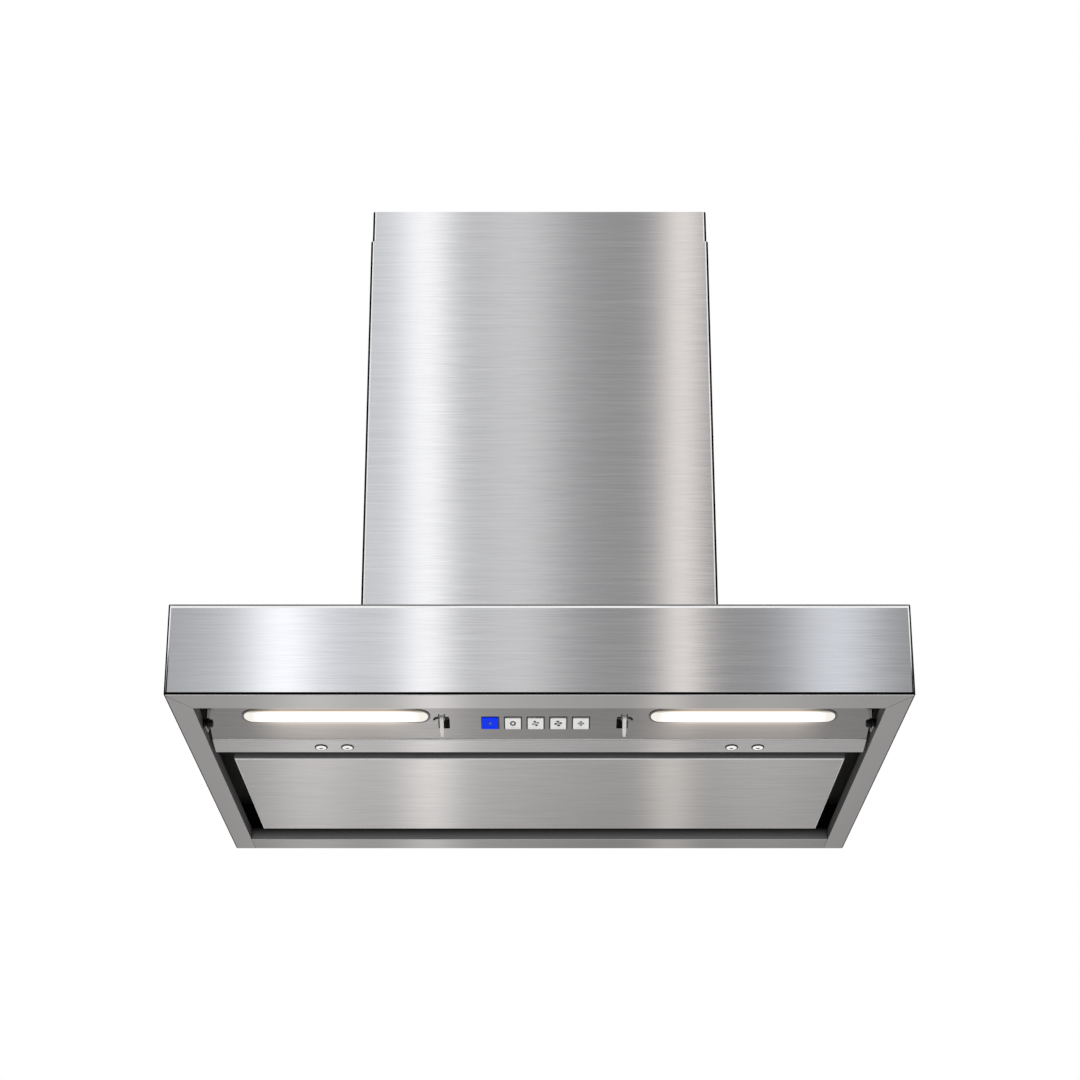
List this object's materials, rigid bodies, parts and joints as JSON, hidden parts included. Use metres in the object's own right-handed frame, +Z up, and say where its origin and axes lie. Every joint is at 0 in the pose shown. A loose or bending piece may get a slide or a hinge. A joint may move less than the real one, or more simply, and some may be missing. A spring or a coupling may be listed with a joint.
{
  "type": "canopy range hood",
  "caption": "Slim wall-mounted stainless canopy range hood with telescopic chimney, perimeter panel, strip lamps, push buttons and release levers.",
  "frame": {"origin": "on the wall plane, in the middle of the hood, at the level of the rim underside", "axes": "+X to the right seen from the room, +Y into the wall, +Z up"},
  "size_m": [0.6, 0.5, 0.564],
  "materials": {
    "brushed_stainless": "brushed stainless, horizontal grain",
    "shaded_stainless": "brushed stainless",
    "filter_steel": "satin stainless",
    "galvanised_sheet": "galvanised",
    "zinc_hardware": "zinc plated",
    "cast_aluminium": "cast",
    "latch_plastic": "satin grey",
    "black_plastic": "satin",
    "black_screws": "black, semi-gloss",
    "scroll_plastic": "satin, dark grey",
    "white_plastic": "satin white",
    "lamp_bezel_grey": "satin grey",
    "frosted_lens": "frosted, lit from behind",
    "circuit_board": "solder mask",
    "button_blue": "lit blue",
    "button_white": "gloss white"
  },
  "bodies": {
    "hood": {"canopy_shell": "brushed_stainless", "canopy_back": "brushed_stainless", "plenum_tray": "shaded_stainless", "control_plate": "shaded_stainless", "cross_rail": "brushed_stainless", "rail_washers": "white_plastic", "rail_screws": "zinc_hardware", "rail_nuts": "zinc_hardware", "side_bolts": "black_screws", "lamp_bezel_left": "lamp_bezel_grey", "lamp_bezel_right": "lamp_bezel_grey", "lamp_lens_left": "frosted_lens", "lamp_lens_right": "frosted_lens", "lamp_housing_left": "white_plastic", "lamp_housing_right": "white_plastic", "led_board_left": "circuit_board", "led_board_right": "circuit_board", "button_housing": "black_plastic", "switch_board": "circuit_board", "latch_bracket_left": "shaded_stainless", "latch_bracket_right": "shaded_stainless", "latch_pin_left": "black_screws", "latch_pin_right": "black_screws", "panel_hinge_brackets": "black_screws", "panel_hinge_pins": "black_screws", "panel_magnets": "black_plastic", "filter_frame_left": "filter_steel", "filter_frame_right": "filter_steel", "filter_baffles_left": "filter_steel", "filter_baffles_right": "filter_steel", "lower_chimney": "brushed_stainless", "chimney_clips": "galvanised_sheet", "blower_box": "galvanised_sheet", "scroll_left": "scroll_plastic", "scroll_right": "scroll_plastic", "motor": "cast_aluminium", "motor_spider": "black_plastic", "duct_collar": "black_plastic", "damper_spindle": "zinc_hardware", "terminal_box": "white_plastic", "cable_gland": "black_plastic"},
    "panel": {"perimeter_panel": "brushed_stainless"},
    "upper_duct_cover": {"upper_chimney": "brushed_stainless", "chimney_bracket": "galvanised_sheet", "bracket_screws": "zinc_hardware"},
    "rotor": {"impeller": "scroll_plastic", "motor_shaft": "zinc_hardware"},
    "flap_front": {"damper_front": "black_plastic"},
    "flap_rear": {"damper_rear": "black_plastic"},
    "lever_left": {"latch_lever_left": "latch_plastic"},
    "lever_right": {"latch_lever_right": "latch_plastic"},
    "bolt_left": {"latch_bolt_left": "zinc_hardware"},
    "bolt_right": {"latch_bolt_right": "zinc_hardware"},
    "power_key": {"button_power": "button_blue"},
    "light_key": {"button_light": "button_white"},
    "low_key": {"button_speed_low": "button_white"},
    "mid_key": {"button_speed_mid": "button_white"},
    "high_key": {"button_speed_high": "button_white"}
  },
  "joints": [
    {"name": "panel_hinge", "type": "hinge", "parent": "hood", "child": "panel", "pos_m": [0, -0.0585, 0.013], "axis": [1, 0, 0], "range_deg": [0, 88]},
    {"name": "chimney_slide", "type": "slide", "parent": "hood", "child": "upper_duct_cover", "axis": [0, 0, 1], "range_m": [0, 0.3]},
    {"name": "impeller_spin", "type": "hinge", "parent": "hood", "child": "rotor", "pos_m": [0, -0.172, 0.187], "axis": [1, 0, 0], "continuous": true},
    {"name": "damper_front_hinge", "type": "hinge", "parent": "hood", "child": "flap_front", "pos_m": [0, -0.106, 0.337], "axis": [-1, 0, 0], "range_deg": [0, 75]},
    {"name": "damper_rear_hinge", "type": "hinge", "parent": "hood", "child": "flap_rear", "pos_m": [0, -0.106, 0.337], "axis": [1, 0, 0], "range_deg": [0, 75]},
    {"name": "latch_bolt_left_slide", "type": "slide", "parent": "hood", "child": "bolt_left", "axis": [0, -1, 0], "range_m": [0, 0.0063], "stiffness_N_per_m": 600},
    {"name": "latch_lever_left_hinge", "type": "hinge", "parent": "hood", "child": "lever_left", "pos_m": [-0.0822, -0.3944, 0.01319], "axis": [1, 0, 0], "range_deg": [0, 16]},
    {"name": "latch_bolt_right_slide", "type": "slide", "parent": "hood", "child": "bolt_right", "axis": [0, -1, 0], "range_m": [0, 0.0063], "stiffness_N_per_m": 600},
    {"name": "latch_lever_right_hinge", "type": "hinge", "parent": "hood", "child": "lever_right", "pos_m": [0.0714, -0.3944, 0.01319], "axis": [1, 0, 0], "range_deg": [0, 16]},
    {"name": "power_button", "type": "slide", "parent": "hood", "child": "power_key", "axis": [0, 0.2588, 0.9659], "range_m": [0, 0.001], "stiffness_N_per_m": 400},
    {"name": "light_button", "type": "slide", "parent": "hood", "child": "light_key", "axis": [0, 0.2588, 0.9659], "range_m": [0, 0.001], "stiffness_N_per_m": 400},
    {"name": "low_button", "type": "slide", "parent": "hood", "child": "low_key", "axis": [0, 0.2588, 0.9659], "range_m": [0, 0.001], "stiffness_N_per_m": 400},
    {"name": "mid_button", "type": "slide", "parent": "hood", "child": "mid_key", "axis": [0, 0.2588, 0.9659], "range_m": [0, 0.001], "stiffness_N_per_m": 400},
    {"name": "high_button", "type": "slide", "parent": "hood", "child": "high_key", "axis": [0, 0.2588, 0.9659], "range_m": [0, 0.001], "stiffness_N_per_m": 400}
  ],
  "couplings": [
    {"joint": "latch_lever_left_hinge", "follows": "latch_bolt_left_slide", "rad_per_m": 43.848},
    {"joint": "latch_lever_right_hinge", "follows": "latch_bolt_right_slide", "rad_per_m": 43.848}
  ]
}
